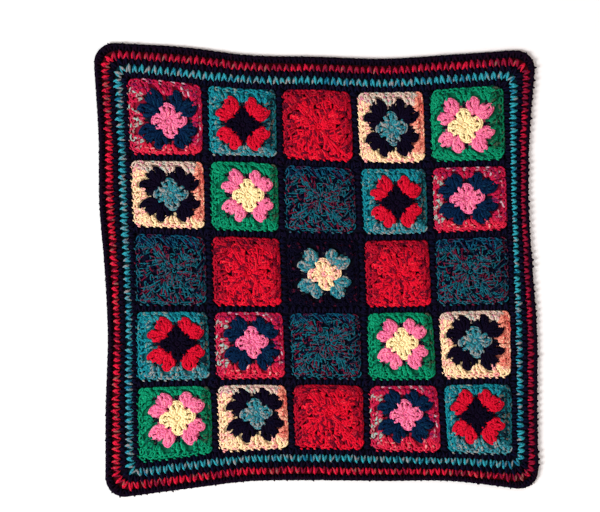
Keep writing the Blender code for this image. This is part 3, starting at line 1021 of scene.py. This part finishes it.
def add_square_cloth(cloth):
    """The cloth of the squares, with the through gaps, in painted shade of the nearest round's yarn and
    in dark painted shade about the gaps.
    """
    ticks = np.array([-tick for tick in reversed(GROUND_TICKS)] + list(GROUND_TICKS))
    centres = (ticks[1:] + ticks[:-1]) / 2
    gaps, spots = all_round(GAPS), all_round([SHADE_SPOT])
    rounds = {}
    for size in {kind[4] for kind in KINDS.values()}:
        rounds[size] = [[nearest_round(a, b, size) for a in centres] for b in centres]

    def away_from(places, i, j):
        return abs(places - (centres[j], centres[i])).max(axis=1).min()

    def solid(i, j):
        return away_from(gaps, i, j) > GAP_HALF / 2

    for row, letters in enumerate(LAYOUT):
        for column, letter in enumerate(letters):
            yarns, side_yarns, _, puff, petal_size, _ = KINDS[letter]
            b, a = np.meshgrid(ticks, ticks, indexing="ij")
            flat = np.stack([a, b], axis=-1) * HALF_SQUARE
            laid = square_lay(row, column, puff)(flat, np.full(flat.shape[:2], GROUND_HEIGHT))

            def name_at(i, j, yarns=yarns, side_yarns=side_yarns, nearest=rounds[petal_size]):
                if min(abs(centres[i]), abs(centres[j])) > GROUND_CORNER:
                    return "blue_black"
                # Dark painted shade about the through gaps, at a spot between the first two rounds and
                # beyond the first round's lobes
                if away_from(gaps, i, j) < SHADE_HALF or away_from(spots, i, j) < GAP_HALF / 2:
                    return "shade"
                if nearest[i][j] == 0 and max(abs(centres[i]), abs(centres[j])) > FIRST_ROUND_REACH:
                    return "shade"
                if nearest[i][j] < 2:
                    return yarns[nearest[i][j]]
                return side_yarns[side_of(np.array([centres[j], centres[i]]))]

            cloth.add_patch(laid, name_at, solid)


def add_border_cloth(cloth):
    """The cloth under the border rounds, in painted shade of each round's yarn."""
    steps = np.linspace(0, len(inside), BELT_STEPS + 1)[:-1].astype(int)
    shares = np.linspace(*BELT_SHARES)
    belt = np.stack([border_loop(share)[steps] for share in shares])
    belt = np.concatenate([belt, belt[:, :1]], axis=1)
    belt = np.concatenate([belt, np.full(belt.shape[:2] + (1,), GROUND_HEIGHT * MM)], axis=2)
    bounds = np.cumsum([share for _, _, _, share, _, _ in ROUNDS])

    def name_at(i, j):
        middle = (shares[i] + shares[i + 1]) / 2
        return ROUNDS[int(np.searchsorted(bounds, middle))][1][0]

    cloth.add_patch(belt, name_at)


def add_join_cloth(cloth):
    """Strips of cloth under the joins, each way at its own height."""
    half = JOIN_WIDTH / 2 + STRIP_SIDE
    for index in range(1, COUNT):
        y = np.linspace(ROW_LINES[-1][2] - STRIP_END, ROW_LINES[0][2] + STRIP_END, STRIP_STEPS)
        x = line(COLUMN_LINES[index], COLUMN_STATION)(y)
        upright = np.stack([np.stack([x - half, y]), np.stack([x + half, y])]).transpose(2, 0, 1)
        left, right = COLUMN_LINES[0][1] - STRIP_END, COLUMN_LINES[-1][1] + STRIP_RIGHT_END
        x = np.linspace(left, right, STRIP_STEPS)
        y = line(ROW_LINES[index], ROW_STATION)(x)
        level = np.stack([np.stack([x, y - half]), np.stack([x, y + half])]).transpose(0, 2, 1)
        for strip, lift in ((upright, UPRIGHT_LIFT), (level, LEVEL_LIFT)):
            height = np.full(strip.shape[:2] + (1,), (GROUND_HEIGHT + lift) * MM)
            places = np.concatenate([strip + shift, height], axis=2)
            cloth.add_patch(places, lambda i, j: "blue_black")


def ground_sheet(grounds):
    """The thin cloth under the stitches, with the through gaps, in painted shade of each round's own
    yarn.
    """
    cloth = Cloth(list(grounds))
    add_square_cloth(cloth)
    add_border_cloth(cloth)
    add_join_cloth(cloth)
    mesh = bpy.data.meshes.new("blanket_ground")
    mesh.from_pydata(cloth.points, [], cloth.faces)
    for material in grounds.values():
        mesh.materials.append(material)
    mesh.polygons.foreach_set("material_index", cloth.slots)
    mesh.update()
    sheet = add_object("blanket_ground", mesh)
    body = sheet.modifiers.new("thickness", "SOLIDIFY")
    body.thickness = GROUND_THICKNESS * MM
    body.offset = -1.0
    return sheet


def dress(piece, node):
    """Puts a piece in the place of a solid."""
    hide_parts(node)
    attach(piece, BODY)
    return piece


materials = {name: yarn_material(name, *yarn) for name, yarn in YARNS.items()}
grounds = {}
tones = {name: tone for names, *tone in GROUND_TONES for name in names}
for name, yarn in YARNS.items():
    which, low, high = tones.get(name, GROUND_TONE)
    grounds[name] = ground_material(name, yarn[which], low, high)
# Near-black painted shade for the cloth about the through gaps and at the spots between rounds
grounds["shade"] = ground_material("shade", (14, 12, 34), 0.5, 1.0)

for row, letters in enumerate(LAYOUT):
    for column, letter in enumerate(letters):
        yarns, side_yarns, slot, puff, petal_size, loose = KINDS[letter]
        work = Yarnwork(yarns + side_yarns)
        lay = square_lay(row, column, puff)
        square_stitches(work, yarns, side_yarns, petal_size, loose, lay)
        node = f"square_r{row + 1}_c{column + 1}"
        dress(work.piece(f"{node}_stitches", materials), node)

dress(join_rows().piece("join_stitches", materials), "join_lattice")

inner_share = 0.0
for node, yarns, slot, share, reach_share, lift in ROUNDS:
    work = border_round(inner_share, share, reach_share, lift, yarns)
    if node == ROUNDS[-1][0]:
        edge_cords(work, yarns[0])
    dress(work.piece(f"{node}_stitches", materials), node)
    inner_share += share

ground = ground_sheet(grounds)
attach(ground, BODY)


def make_floor():
    """A plain pale floor."""
    bpy.ops.mesh.primitive_plane_add(size=FLOOR_SIZE, location=(0.0, 0.0, 0.0))
    floor = bpy.context.object
    floor.name = "floor"
    material, _, surface = new_material("pale_floor")
    surface({"Base Color": (0.92, 0.92, 0.92, 1.0), "Roughness": 0.9})
    floor.data.materials.append(material)
    return floor


def add_light(name, place, size, power, colour):
    """A soft square light that faces the blanket."""
    light = bpy.data.lights.new(name, "AREA")
    light.size = size
    light.energy = power
    light.color = colour
    lamp = add_object(name, light)
    lamp.location = place
    lamp.rotation_euler = (-Vector(place)).to_track_quat("-Z", "Y").to_euler()


def add_camera():
    """A long lens straight above, over the middle of the photo's frame."""
    camera = bpy.data.cameras.new("camera")
    camera.lens = 85.0
    camera.sensor_width = 36.0
    seen_width = PHOTO_WIDTH * PIXEL * MM
    height = seen_width * camera.lens / camera.sensor_width
    eye = add_object("camera", camera)
    eye.location = (*FRAME_MIDDLE, height)
    bpy.context.scene.camera = eye


floor = make_floor()
for light in LIGHTS:
    add_light(*light)
world = bpy.data.worlds.new("studio")
world.use_nodes = True
sky = world.node_tree.nodes["Background"]
sky.inputs[0].default_value = (*WHITE, 1.0)
sky.inputs[1].default_value = SKY_STRENGTH
bpy.context.scene.world = world
bpy.context.scene.view_settings.view_transform = "Standard"
add_camera()
